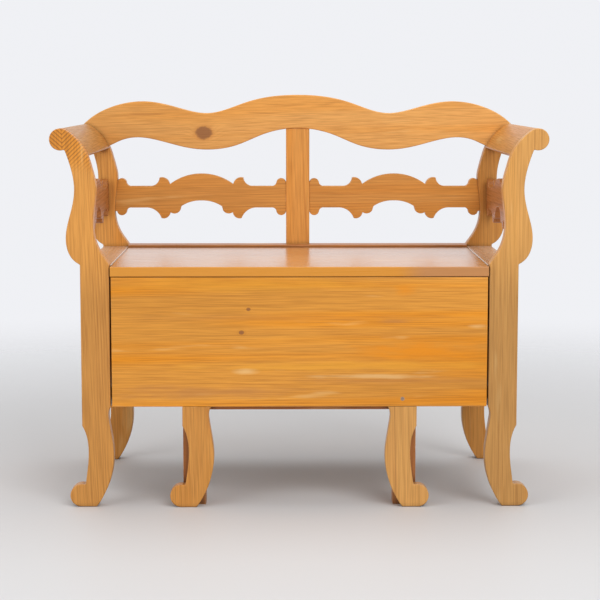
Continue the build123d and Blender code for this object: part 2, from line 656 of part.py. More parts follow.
for number, x in enumerate(PULL_SLATS, start=1):
    with BuildPart() as pull_slat:
        block((x - SLAT_WIDTH / 2, PANEL_BACK, PULL_LEVEL), (x + SLAT_WIDTH / 2, PULL_BACK, SLAT_TOP))
        fillet(pull_slat.edges().filter_by(Axis.Y).sort_by(Axis.Z)[-2:], radius=EDGE_R)
    save(pull_slat, f"pull_slat_{number}")

with BuildPart() as pull_bearer:
    reach = PULL_SLATS[-1] + SLAT_WIDTH / 2
    block((-reach, PULL_BEARER, PULL_LEVEL - BEARER_HIGH), (reach, PULL_BACK, PULL_LEVEL))
    for x in FIXED_SLATS:
        block(
            (x - SLAT_WIDTH / 2 - NOTCH_SIDE, PULL_BEARER, PULL_LEVEL - NOTCH_DEEP),
            (x + SLAT_WIDTH / 2 + NOTCH_SIDE, PULL_BACK, PULL_LEVEL),
            mode=Mode.SUBTRACT,
        )
save(pull_bearer, "pull_bearer")
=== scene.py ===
"""Scrolled pine settle with a lift-up lid and a pull-out front, in aged honey-coloured varnish."""

import logging
import math
import random
from dataclasses import dataclass
from enum import Enum

import bpy
from mathutils import Euler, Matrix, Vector


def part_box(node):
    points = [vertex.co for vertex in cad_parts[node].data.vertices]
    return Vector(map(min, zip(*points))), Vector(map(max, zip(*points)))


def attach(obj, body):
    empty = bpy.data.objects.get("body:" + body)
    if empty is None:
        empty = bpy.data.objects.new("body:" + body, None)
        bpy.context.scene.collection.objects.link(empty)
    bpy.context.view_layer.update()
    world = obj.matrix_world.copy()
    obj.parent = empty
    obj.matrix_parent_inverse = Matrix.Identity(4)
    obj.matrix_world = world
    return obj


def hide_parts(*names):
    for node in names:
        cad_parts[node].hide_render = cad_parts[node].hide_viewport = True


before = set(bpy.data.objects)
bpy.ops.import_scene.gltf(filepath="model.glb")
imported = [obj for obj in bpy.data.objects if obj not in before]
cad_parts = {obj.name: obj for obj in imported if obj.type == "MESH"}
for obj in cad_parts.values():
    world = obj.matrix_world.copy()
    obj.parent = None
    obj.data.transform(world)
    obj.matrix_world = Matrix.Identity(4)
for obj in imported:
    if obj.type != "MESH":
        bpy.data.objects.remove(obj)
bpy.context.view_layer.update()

logging.basicConfig(level=logging.INFO)
LOG = logging.getLogger("settle")

Colour = tuple[float, float, float]
Point = tuple[float, float, float]
Range = tuple[float, float]
Stops = list[tuple[float, Colour]]
Socket = bpy.types.NodeSocket

RISING: Range = (0.0, 1.0)
FALLING: Range = (1.0, 0.0)


class Grain(Enum):
    """Direction of a board's grain, as the turn that lays it along the texture's X axis."""

    ACROSS = (0.0, 0.0, 0.0)
    DEEP = (0.0, 0.0, -math.pi / 2)
    UPRIGHT = (0.0, math.pi / 2, 0.0)


class Mark(Enum):
    """What has marked a patch of wood, as the patch's colour."""

    STAINED = (0.80, 0.265, 0.003)
    GOLDEN = (0.82, 0.37, 0.03)
    RUBBED = (0.86, 0.56, 0.24)
    SOILED = (0.46, 0.19, 0.055)


@dataclass(frozen=True)
class Streaks:
    """A noise drawn out along the grain, by its cells a metre and its octaves."""

    along: float
    across: float
    octaves: float = 1.0


@dataclass(frozen=True)
class Knot:
    """A knot on an upright face, by its place and radius in metres."""

    x: float
    z: float
    radius: float


@dataclass(frozen=True)
class Patch:
    """A marked patch on an upright face, by its middle and half sizes in metres."""

    middle: tuple[float, float]
    half: tuple[float, float]
    mark: Mark
    share: float


@dataclass(frozen=True)
class Chevrons:
    """Bold chevrons in amber wood, on the scrolled head of a post."""

    middle: float = -0.474
    slope: float = 0.9
    pitch: float = 0.0085
    sway: float = 3.0
    heights: Range = (0.675, 0.72)
    amber: Colour = (0.82, 0.29, 0.012)
    amber_share: float = 0.6
    dark: Colour = (0.2, 0.07, 0.015)
    dark_share: float = 0.75


@dataclass(frozen=True)
class FrontEdge:
    """The front edge of the seat, in a colour of its own and browner towards the right."""

    face: float = -0.253
    depth: float = 0.0022
    colour: Colour = (0.72, 0.29, 0.02)
    brown: Colour = (0.52, 0.235, 0.085)
    brown_from: Range = (0.19, 0.26)
    share: float = 0.75
    coat: float = 0.05


@dataclass(frozen=True)
class Wood:
    """A pine finish."""

    name: str
    early: Colour
    late: Colour
    amber: Colour
    ring: float
    contrast: float
    amber_share: float = 0.35
    roughness: float = 0.42
    coat: float = 0.12


@dataclass(frozen=True)
class Metal:
    """A plain metal finish, dull and mottled by age."""

    name: str
    colour: Colour
    roughness: float
    metallic: float = 0.85
    mottle_tone: float = 1.9
    mottle_roughness: float = 0.2


@dataclass(frozen=True)
class Board:
    """One wooden piece and how its wood lies."""

    node: str
    wood: Wood
    grain: Grain
    heart: Point | None = None
    tone: float = 1.0
    tilt: float = 0.02
    low_tone: float = 1.0
    knots: tuple[Knot, ...] = ()
    patches: tuple[Patch, ...] = ()
    chevrons: Chevrons | None = None
    edge: FrontEdge | None = None


HONEY = Wood(
    "honey", (0.70, 0.32, 0.07), (0.46, 0.155, 0.025), (0.68, 0.26, 0.03),
    ring=0.0052, contrast=0.5, amber_share=0.5,
)
PALE = Wood(
    "pale", (0.76, 0.39, 0.11), (0.57, 0.225, 0.05), (0.76, 0.32, 0.045),
    ring=0.006, contrast=0.3, amber_share=0.5,
)
GOLD = Wood(
    "gold", (0.72, 0.31, 0.042), (0.42, 0.135, 0.012), (0.78, 0.275, 0.004),
    ring=0.008, contrast=0.34, amber_share=0.9,
)
BROWN = Wood(
    "brown", (0.47, 0.18, 0.045), (0.28, 0.09, 0.02), (0.40, 0.13, 0.02),
    ring=0.006, contrast=0.6,
)
SEAT = Wood(
    "seat", (0.64, 0.31, 0.115), (0.42, 0.18, 0.06), (0.56, 0.24, 0.07),
    ring=0.009, contrast=0.5, amber_share=0.4, roughness=0.3, coat=0.9,
)
# Seat ends: the pale pinkish colour is painted reflection of the white background, laid over the
# pine's grain and rings.
SEAT_END_SHEEN = Wood(
    "lightened", (0.72, 0.53, 0.42), (0.48, 0.28, 0.16), (0.56, 0.3, 0.15),
    ring=0.007, contrast=0.5, amber_share=0.4, roughness=0.3, coat=0.9,
)
BARE = Wood(
    "bare", (0.56, 0.31, 0.11), (0.38, 0.17, 0.055), (0.46, 0.23, 0.07),
    ring=0.006, contrast=0.6, amber_share=0.3, roughness=0.65, coat=0.0,
)
DARK_STEEL = Metal("dark_steel", (0.28, 0.2, 0.15), 0.45)
IRON = Metal("iron", (0.08, 0.075, 0.07), 0.55)

# Places of the colours and of the result among a Mix node's sockets.
MIX_FIRST, MIX_SECOND, MIX_RESULT = 6, 7, 2

# Parts of a direction: off the heart, and along an upright face.
OFF_HEART: Point = (0.0, 1.0, 1.0)
ON_FACE: Point = (1.0, 0.0, 1.0)

# Growth rings: how far the heart lies from an unplaced board's middle, how far the noises are
# shifted from board to board, and the rise from early to late wood across one ring.
HEART_ASIDE: Range = (0.03, 0.07)
DRIFT: Range = (0.0, 9.0)
LEAN_UP: Range = (0.5, 1.0)
LEAN_OUT: Range = (-1.0, 1.0)
SWAY = Streaks(1.0, 6.0, 3.0)
RING_SWAY = 4.0
RING_STOPS: Stops = [
    (0.0, (0.0, 0.0, 0.0)),
    (0.5, (0.06, 0.06, 0.06)),
    (0.86, (1.0, 1.0, 1.0)),
    (0.93, (0.8, 0.8, 0.8)),
    (1.0, (0.0, 0.0, 0.0)),
]
FADING_RINGS = Streaks(1.5, 40.0)
FADING_RANGE: Range = (0.3, 0.7)
FADING_DEPTH: Range = (0.35, 1.0)

# Knots: a ragged disc that bends the rings round it.
KNOT_RIM = Streaks(160.0, 160.0, 2.0)
KNOT_RAGGED = 0.35
KNOT_SQUEEZE: Point = (0.8, 0.0, 1.0)
KNOT_BEND_REACH: Range = (0.2, 2.4)
KNOT_BEND: Range = (2.5, 0.0)
KNOT_REACH: Range = (0.75, 1.35)
KNOT_HEART_RANGE: Range = (0.4, 1.0)
KNOT_HEART: Colour = (0.22, 0.08, 0.03)
KNOT_SHARE = 0.8

# Colour along the grain.
AMBER_BANDS = Streaks(0.9, 24.0)
AMBER_RANGE: Range = (0.46, 0.7)
FIBRES = Streaks(11.0, 520.0, 2.0)
FIBRE_RANGE: Range = (0.3, 0.7)
FIBRE_TINTS: Stops = [(0.3, (0.78, 0.74, 0.68)), (0.62, (1.04, 1.04, 1.04))]
PENCIL_LINES = Streaks(1.6, 210.0)
PENCIL_RANGE: Range = (0.64, 0.76)
PENCIL_SHARE: Range = (0.0, 0.4)
PENCIL_TONE = 0.6
BROAD_SHADE = Streaks(1.2, 3.5)
SHADE_TINTS: Stops = [(0.3, (0.86, 0.84, 0.8)), (0.7, (1.06, 1.06, 1.06))]

# Use and age, and painted shade with grime in the joints and nooks; front posts darker low down.
RUBBED_PLACES = Streaks(5.0, 40.0, 3.0)
RUBBED_RANGE: Range = (0.62, 0.76)
RUBBED_SHARE: Range = (0.0, 0.45)
RUBBED_COLOUR: Colour = (0.84, 0.52, 0.2)
PATCH_RIM = Streaks(14.0, 70.0, 3.0)
PATCH_RAGGED = 1.4
PATCH_REACH: Range = (0.8, 1.8)
# Height band over which the front posts turn darker towards the bottom.
LOW_PART: Range = (0.40, 0.56)
# Ambient occlusion turns the joints and nooks within this reach dark: painted shade, with grime.
OCCLUSION_DISTANCE = 0.02
OCCLUSION_SAMPLES = 6
OCCLUSION_RANGE: Range = (0.25, 0.75)
SHADE_AND_GRIME_SHARE: Range = (0.75, 0.0)
SHADE_AND_GRIME: Colour = (0.07, 0.028, 0.01)
CORNER_RADIUS = 0.003
CORNER_SAMPLES = 4
CORNER_RANGE: Range = (0.86, 0.995)
WORN_SPOTS = Streaks(24.0, 60.0, 3.0)
WORN_RANGE: Range = (0.45, 0.68)
WORN_SHARE = 0.55
WORN_COLOUR: Colour = (0.86, 0.58, 0.3)

# Varnish and relief.
RELIEF_FIBRE = 0.6
BUMP_STRENGTH = 0.12
BUMP_DISTANCE = 0.0006
DULLER, GLOSSIER = 0.08, -0.05
COAT_ROUGHNESS = 0.22
SPECULAR = 0.3

# Mottled metal.
MOTTLE = Streaks(700.0, 700.0, 3.0)
MOTTLE_COLOUR_RANGE: Range = (0.4, 0.7)
MOTTLE_ROUGHNESS_RANGE: Range = (0.3, 0.7)


def toned(colour: Colour, tone: float) -> Colour:
    """Lighten or darken a colour."""
    return tuple(min(1.0, part * tone) for part in colour)


class Graph:
    """A material's node tree, grown one node at a time."""

    def __init__(self, name: str) -> None:
        """Start a material.

        Args:
            name: the material's name.
        """
        self.material = bpy.data.materials.new(name)
        self.material.use_nodes = True
        self.tree = self.material.node_tree
        self.shader = self.tree.nodes["Principled BSDF"]
        self.place = self.node("TexCoord", {}).outputs["Object"]

    def feed(self, socket: Socket, value: object) -> None:
        """Link a socket, or set its constant.

        Args:
            socket: the input to feed.
            value: another node's output or a plain value.
        """
        if isinstance(value, Socket):
            self.tree.links.new(value, socket)
        else:
            socket.default_value = value

    def feed_shader(self, inputs: dict[str, object]) -> None:
        """Feed the shader's inputs.

        Args:
            inputs: values or outputs by input name.
        """
        for name, value in inputs.items():
            self.feed(self.shader.inputs[name], value)

    def node(
        self, kind: str, inputs: dict[int | str, object], **settings: object
    ) -> bpy.types.Node:
        """Add a node.

        Args:
            kind: the node's type without its ShaderNode prefix.
            inputs: values or outputs by input name or index.
            settings: the node's own properties.

        Returns:
            The new node.
        """
        made = self.tree.nodes.new(f"ShaderNode{kind}")
        for key, value in settings.items():
            setattr(made, key, value)
        for key, value in inputs.items():
            self.feed(made.inputs[key], value)
        return made

    def math(self, operation: str, *values: object) -> Socket:
        """Add a math node and return its value."""
        return self.node("Math", dict(enumerate(values)), operation=operation).outputs[0]

    def vector(self, operation: str, *values: object) -> Socket:
        """Add a vector math node and return its vector."""
        return self.node("VectorMath", dict(enumerate(values)), operation=operation).outputs[0]

    def measure(self, operation: str, *values: object) -> Socket:
        """Add a vector math node and return its value."""
        return self.node("VectorMath", dict(enumerate(values)), operation=operation).outputs[1]

    def noise(self, place: Socket, streaks: Streaks) -> Socket:
        """Add a noise that is drawn out along X.

        Args:
            place: the texture's coordinates.
            streaks: the noise's measures.

        Returns:
            The noise, around 0.5.
        """
        cells = (streaks.along, streaks.across, streaks.across)
        inputs = {
            "Vector": self.vector("MULTIPLY", place, cells),
            "Scale": 1.0,
            "Detail": streaks.octaves,
        }
        return self.node("TexNoise", inputs).outputs[0]

    def ramp(self, factor: Socket, stops: Stops) -> Socket:
        """Add a colour ramp.

        Args:
            factor: the place on the ramp.
            stops: each stop's place and colour, in rising order.

        Returns:
            The ramp's colour.
        """
        made = self.node("ValToRGB", {0: factor})
        elements = made.color_ramp.elements
        while len(elements) < len(stops):
            elements.new(1.0)
        for element, (place, colour) in zip(elements, stops):
            element.position = place
            element.color = (*colour, 1.0)
        return made.outputs[0]

    def span(self, value: Socket, across: Range, onto: Range = RISING) -> Socket:
        """Map a value smoothly from one range onto another."""
        inputs = dict(enumerate((value, *across, *onto)))
        return self.node("MapRange", inputs, interpolation_type="SMOOTHSTEP").outputs[0]

    def mix(self, share: object, first: object, second: object, blend: str = "MIX") -> Socket:
        """Mix two colours.

        Args:
            share: how much of the second colour shows.
            first: a colour or an output.
            second: a colour or an output.
            blend: how the two are mixed.

        Returns:
            The mixed colour.
        """
        inputs = {0: share}
        for key, value in ((MIX_FIRST, first), (MIX_SECOND, second)):
            inputs[key] = (*value, 1.0) if isinstance(value, tuple) else value
        made = self.node("Mix", inputs, data_type="RGBA", blend_type=blend)
        return made.outputs[MIX_RESULT]


class PineGraph(Graph):
    """The wood of one board, with growth rings about a heart that runs along its grain."""

    def __init__(self, board: Board) -> None:
        """Lay the grain through the board and grow its rings.

        Args:
            board: the piece and its finish.
        """
        wood = board.wood
        super().__init__(f"{wood.name}_{board.node}")
        self.board = board
        self.late = toned(wood.late, board.tone)
        self.coat: object = wood.coat
        self.x, self.y, self.z = self.node("SeparateXYZ", {0: self.place}).outputs
        self.laid, self.grown = self.lay_grain()
        self.sway = self.noise(self.grown, SWAY)
        self.fibre = self.noise(self.grown, FIBRES)
        self.knot_core: Socket | None = None
        self.band = self.grow_rings()
        self.colour = self.mix(self.band, toned(wood.early, board.tone), self.late)

    def lay_grain(self) -> tuple[Socket, Socket]:
        """Turn the board's coordinates so that its heart runs along X.

        Returns:
            Coordinates from the heart, and the same shifted to wood of the board's own.
        """
        board = self.board
        draw = random.Random(board.node)
        aside = Vector([draw.choice((-1, 1)) * draw.uniform(*HEART_ASIDE) for _ in range(3)])
        low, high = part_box(board.node)
        heart = Vector(board.heart) if board.heart else (low + high) / 2 + aside
        lean_up = board.tilt * draw.uniform(*LEAN_UP)
        lean_out = board.tilt * draw.uniform(*LEAN_OUT)
        lean = Euler((0.0, lean_up, lean_out))
        along = lean.to_matrix() @ Euler(board.grain.value).to_matrix()
        inputs = {
            "Vector": self.place,
            "Location": tuple(-(along @ heart)),
            "Rotation": tuple(along.to_euler()),
        }
        laid = self.node("Mapping", inputs).outputs[0]
        drift = tuple(draw.uniform(*DRIFT) for _ in range(3))
        return laid, self.vector("ADD", laid, drift)

    def grow_rings(self) -> Socket:
        """Grow rings about the heart, bent round each knot.

        Returns:
            How much late wood shows.
        """
        radius = self.measure("LENGTH", self.vector("MULTIPLY", self.laid, OFF_HEART))
        rings = self.math("DIVIDE", radius, self.board.wood.ring)
        rings = self.math("MULTIPLY_ADD", self.sway, RING_SWAY, rings)
        for knot in self.board.knots:
            away = self.vector("SUBTRACT", self.place, (knot.x, 0.0, knot.z))
            away = self.measure("LENGTH", self.vector("MULTIPLY", away, KNOT_SQUEEZE))
            reach = self.math("DIVIDE", away, knot.radius)
            rim = self.noise(self.place, KNOT_RIM)
            reach = self.math("MULTIPLY_ADD", rim, KNOT_RAGGED, reach)
            rings = self.math("ADD", rings, self.span(reach, KNOT_BEND_REACH, KNOT_BEND))
            disc = self.span(reach, KNOT_REACH, FALLING)
            if self.knot_core is not None:
                disc = self.math("MAXIMUM", self.knot_core, disc)
            self.knot_core = disc
        fading = self.span(self.noise(self.grown, FADING_RINGS), FADING_RANGE, FADING_DEPTH)
        depth = self.math("MULTIPLY", fading, self.board.wood.contrast)
        return self.math("MULTIPLY", self.ramp(self.math("FRACT", rings), RING_STOPS), depth)

    def stain(self, share: object, colour: object) -> None:
        """Lay a colour over the wood."""
        self.colour = self.mix(share, self.colour, colour)

    def tint(self, colour: Socket) -> None:
        """Multiply the wood by a colour."""
        self.colour = self.mix(1.0, self.colour, colour, "MULTIPLY")

    def draw_chevrons(self, figure: Chevrons) -> None:
        """Draw chevrons on a post's head.

        Args:
            figure: the chevrons' measures.
        """
        off_middle = self.math("ABSOLUTE", self.math("SUBTRACT", self.x, figure.middle))
        height = self.math("MULTIPLY_ADD", off_middle, -figure.slope, self.z)
        count = self.math("DIVIDE", height, figure.pitch)
        count = self.math("MULTIPLY_ADD", self.sway, figure.sway, count)
        vee = self.ramp(self.math("FRACT", count), RING_STOPS)
        head = self.span(self.z, figure.heights)
        self.stain(self.math("MULTIPLY", head, figure.amber_share), figure.amber)
        dark = self.math("MULTIPLY", head, figure.dark_share)
        self.stain(self.math("MULTIPLY", vee, dark), figure.dark)

    def colour_grain(self) -> None:
        """Lay amber bands, fibres, dark lines, rubbed places and broad shade along the grain."""
        board = self.board
        bands = self.noise(self.grown, AMBER_BANDS)
        amber_share = self.span(bands, AMBER_RANGE, (0.0, board.wood.amber_share))
        self.stain(amber_share, toned(board.wood.amber, board.tone))
        self.tint(self.ramp(self.fibre, FIBRE_TINTS))
        lines = self.noise(self.grown, PENCIL_LINES)
        self.stain(self.span(lines, PENCIL_RANGE, PENCIL_SHARE), toned(self.late, PENCIL_TONE))
        rubbed = self.span(self.noise(self.grown, RUBBED_PLACES), RUBBED_RANGE, RUBBED_SHARE)
        self.stain(rubbed, toned(RUBBED_COLOUR, board.tone))
        self.tint(self.ramp(self.noise(self.grown, BROAD_SHADE), SHADE_TINTS))

    def lay_patches(self) -> None:
        """Lay the board's own stained and rubbed patches, with ragged rims."""
        rim = self.noise(self.grown, PATCH_RIM)
        for patch in self.board.patches:
            away = self.vector("SUBTRACT", self.place, (patch.middle[0], 0.0, patch.middle[1]))
            away = self.vector("MULTIPLY", away, ON_FACE)
            away = self.vector("DIVIDE", away, (patch.half[0], 1.0, patch.half[1]))
            reach = self.math("MULTIPLY_ADD", rim, PATCH_RAGGED, self.measure("LENGTH", away))
            self.stain(self.span(reach, PATCH_REACH, (patch.share, 0.0)), patch.mark.value)

    def colour_edge(self, edge: FrontEdge) -> None:
        """Colour the board's front edge and dull its varnish.

        Args:
            edge: the edge's place and colours.
        """
        coat = self.board.wood.coat
        front = self.span(self.y, (edge.face, edge.face + edge.depth), FALLING)
        colour = self.mix(self.span(self.x, edge.brown_from), edge.colour, edge.brown)
        self.stain(self.math("MULTIPLY", front, edge.share), colour)
        self.coat = self.math("MULTIPLY_ADD", front, edge.coat - coat, coat)

    def fill_knots(self) -> None:
        """Darken the knots towards their hearts."""
        heart = self.mix(self.span(self.knot_core, KNOT_HEART_RANGE), self.late, KNOT_HEART)
        self.stain(self.math("MULTIPLY", self.knot_core, KNOT_SHARE), heart)

    def shade_and_wear(self) -> None:
        """Darken the joints and nooks by ambient occlusion, as painted shade with grime, and rub
        the corners pale.
        """
        # Painted shade with grime: ambient occlusion darkens the joints and nooks.
        inputs = {"Distance": OCCLUSION_DISTANCE}
        occlusion = self.node("AmbientOcclusion", inputs, samples=OCCLUSION_SAMPLES, only_local=False)
        self.stain(self.span(occlusion.outputs["AO"], OCCLUSION_RANGE, SHADE_AND_GRIME_SHARE), SHADE_AND_GRIME)
        rounded = self.node("Bevel", {"Radius": CORNER_RADIUS}, samples=CORNER_SAMPLES).outputs[0]
        flat = self.node("NewGeometry", {}).outputs["Normal"]
        corner = self.span(self.measure("DOT_PRODUCT", rounded, flat), CORNER_RANGE, FALLING)
        share = WORN_SHARE * (1.0 - self.board.wood.coat)
        spots = self.span(self.noise(self.grown, WORN_SPOTS), WORN_RANGE, (0.0, share))
        lightened = self.math("MULTIPLY", corner, spots)
        self.stain(lightened, toned(WORN_COLOUR, self.board.tone))

    def varnish(self) -> None:
        """Give the wood its relief and its varnish."""
        relief = self.math("MULTIPLY_ADD", self.fibre, RELIEF_FIBRE, self.band)
        bump = {"Strength": BUMP_STRENGTH, "Distance": BUMP_DISTANCE, "Height": relief}
        roughness = self.board.wood.roughness
        gloss = (roughness + DULLER, roughness + GLOSSIER)
        self.feed_shader({
            "Base Color": self.colour,
            "Roughness": self.span(self.fibre, FIBRE_RANGE, gloss),
            "Normal": self.node("Bump", bump).outputs[0],
            "Coat Weight": self.coat,
            "Coat Roughness": COAT_ROUGHNESS,
            "Specular IOR Level": SPECULAR,
        })

    def finished(self) -> bpy.types.Material:
        """Colour the wood, age it, paint shade into its joints and varnish it.

        Returns:
            The material.
        """
        board = self.board
        if board.chevrons:
            self.draw_chevrons(board.chevrons)
        self.colour_grain()
        self.lay_patches()
        # Darker towards the bottom of the board.
        if board.low_tone < 1.0:
            self.tint(self.span(self.z, LOW_PART, (board.low_tone, 1.0)))
        if board.edge:
            self.colour_edge(board.edge)
        if board.knots:
            self.fill_knots()
        self.shade_and_wear()
        self.varnish()
        return self.material


def metal_material(metal: Metal) -> bpy.types.Material:
    """Make a dull metal, mottled by age.

    Args:
        metal: the finish.

    Returns:
        The material.
    """
    graph = Graph(metal.name)
    mottle = graph.noise(graph.place, MOTTLE)
    bright = toned(metal.colour, metal.mottle_tone)
    dullness = (metal.roughness, metal.roughness + metal.mottle_roughness)
    graph.feed_shader({
        "Base Color": graph.mix(graph.span(mottle, MOTTLE_COLOUR_RANGE), metal.colour, bright),
        "Metallic": metal.metallic,
        "Roughness": graph.span(mottle, MOTTLE_ROUGHNESS_RANGE, dullness),
    })
    return graph.material


def joined(pieces: list[bpy.types.Object]) -> bpy.types.Object:
    """Join mesh objects into the first of them.

    Args:
        pieces: two or more mesh objects.

    Returns:
        The first object, selected and active.
    """
    bpy.ops.object.select_all(action="DESELECT")
    for piece in pieces:
        piece.select_set(True)
    bpy.context.view_layer.objects.active = pieces[0]
    bpy.ops.object.join()
    return pieces[0]


@dataclass(frozen=True)
class Screw:
    """A slotted screw, by the middle of its head's face and the way that the face looks."""

    head: Point
    facing: Point
    length: float
    slot_turn: float
    head_radius: float = 0.0039
    head_height: float = 0.003
    head_sides: int = 32
    shank_radius: float = 0.0021
    shank_sides: int = 24
    slot_width: float = 0.0011
    slot_depth: float = 0.0012
    slot_reach: int = 3

    def model(self, name: str) -> bpy.types.Object:
        """Model the screw where it sits.

        Args:
            name: the piece's name.

        Returns:
            The mesh object at the origin.
        """
        screw = joined([self.slotted_head(), self.shank()])
        bpy.ops.object.transform_apply(location=True, rotation=True, scale=True)
        screw.rotation_euler = Vector(self.facing).to_track_quat("Z", "Y").to_euler()
        screw.location = self.head
        bpy.ops.object.transform_apply(location=True, rotation=True, scale=True)
        screw.name = name
        return screw

    def slotted_head(self) -> bpy.types.Object:
        """Model the head below the origin and cut its slot.

        Returns:
            The head.
        """
        bpy.ops.object.select_all(action="DESELECT")
        bpy.ops.mesh.primitive_cylinder_add(
            vertices=self.head_sides, radius=self.head_radius, depth=self.head_height,
            location=(0, 0, -self.head_height / 2),
        )
        head = bpy.context.object
        bpy.ops.mesh.primitive_cube_add(size=1.0, rotation=(0, 0, self.slot_turn))
        cutter = bpy.context.object
        length = self.head_radius * self.slot_reach
        cutter.scale = (length, self.slot_width, self.slot_depth * 2)
        cut = head.modifiers.new("slot", "BOOLEAN")
        cut.object = cutter
        bpy.context.view_layer.objects.active = head
        bpy.ops.object.modifier_apply(modifier=cut.name)
        bpy.data.objects.remove(cutter)
        return head

    def shank(self) -> bpy.types.Object:
        """Model the shank below the head.

        Returns:
            The shank.
        """
        bpy.ops.mesh.primitive_cylinder_add(
            vertices=self.shank_sides, radius=self.shank_radius,
            depth=self.length - self.head_height,
            location=(0, 0, -(self.length + self.head_height) / 2),
        )
        return bpy.context.object


def both(name: str, wood: Wood, grain: Grain, tone: float = 1.0) -> list[Board]:
    """Make a left and a right board of one kind."""
    return [Board(f"{name}_{side}", wood, grain, tone=tone) for side in ("left", "right")]


def numbered(name: str, count: int) -> list[Board]:
    """Make a row of bare slats."""
    return [Board(f"{name}_{number}", BARE, Grain.DEEP) for number in range(1, count + 1)]


@dataclass
class SubAssembly:
    """Pieces that move together on one body."""

    body: str

    def boards(self) -> list[Board]:
        """List the wooden pieces."""
        return []

    def metals(self) -> dict[str, Metal]:
        """List the metal nodes that keep their shape, with their finishes."""
        return {}

    def build(self) -> None:
        """Model the pieces that stand for plain nodes."""

    def dress(self) -> None:
        """Give each node a material of its own."""
        finishes = {board.node: PineGraph(board).finished() for board in self.boards()}
        finishes.update({node: metal_material(metal) for node, metal in self.metals().items()})
        for node, material in finishes.items():
            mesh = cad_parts[node].data
            mesh.materials.clear()
            mesh.materials.append(material)
            LOG.info("%s: %s in %s", self.body, node, material.name)

    def fit_screws(self, name: str, node: str, screws: list[Screw]) -> None:
        """Model screws as one piece in place of their plain node.

        Args:
            name: the piece's name.
            node: the node that it replaces.
            screws: the screws, where they sit.
        """
        made = [screw.model(f"{name}_{count}") for count, screw in enumerate(screws)]
        piece = joined(made) if len(made) > 1 else made[0]
        piece.name = name
        piece.data.materials.append(metal_material(DARK_STEEL))
        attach(piece, self.body)
        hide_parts(node)
        LOG.info("%s: %s for %s", self.body, name, node)


@dataclass
class SettleFrame(SubAssembly):
    """The posts, arms, back, fixed seat and box."""

    body: str = "frame"
    fixed_slats: int = 5
    left_heart: Point = (-0.49, -0.19, 0.0)
    right_heart: Point = (0.432, -0.265, 0.0)
    crest_heart: Point = (0.0, 0.16, 0.70)
    stile_heart: Point = (0.05, 0.29, 0.6)
    crest_knot: Knot = Knot(-0.212, 0.75, 0.019)

    def boards(self) -> list[Board]:
        """List the wooden pieces.

        Returns:
            Each board and its wood.
        """
        return [
            Board(
                "front_post_left", HONEY, Grain.UPRIGHT, self.left_heart,
                tone=1.08, tilt=0.05, low_tone=0.78, chevrons=Chevrons(),
            ),
            Board(
                "front_post_right", PALE, Grain.UPRIGHT, self.right_heart,
                tilt=0.012, low_tone=0.75,
            ),
            Board("rear_post_left", HONEY, Grain.UPRIGHT),
            Board("rear_post_right", HONEY, Grain.UPRIGHT, tone=0.86),
            Board("arm_left", HONEY, Grain.DEEP, tone=0.66),
            Board("arm_right", HONEY, Grain.DEEP, tone=0.9),
            *both("arm_rail", BROWN, Grain.DEEP, tone=1.05),
            # Seat ends in wood whose pale colour is painted reflection.
            *both("seat_end", SEAT_END_SHEEN, Grain.DEEP),
            *both("end_panel", GOLD, Grain.DEEP),
            *both("lid_rest", BARE, Grain.DEEP),
            Board(
                "crest_rail", PALE, Grain.ACROSS, self.crest_heart,
                tone=1.02, tilt=0.03, knots=(self.crest_knot,),
            ),
            Board("back_stile", HONEY, Grain.UPRIGHT, self.stile_heart, tone=1.05),
            Board("back_rail_left", HONEY, Grain.ACROSS),
            Board("back_rail_right", HONEY, Grain.ACROSS, tone=0.97),
            Board("rear_strip", BROWN, Grain.ACROSS),
            Board("back_panel", BARE, Grain.ACROSS),
            Board("front_bearer", BARE, Grain.ACROSS),
            Board("rear_ledger", BARE, Grain.ACROSS),
            *numbered("fixed_slat", self.fixed_slats),
        ]

    def metals(self) -> dict[str, Metal]:
        """List the lid's pivot pins."""
        return {"lid_pivot_left": IRON, "lid_pivot_right": IRON}


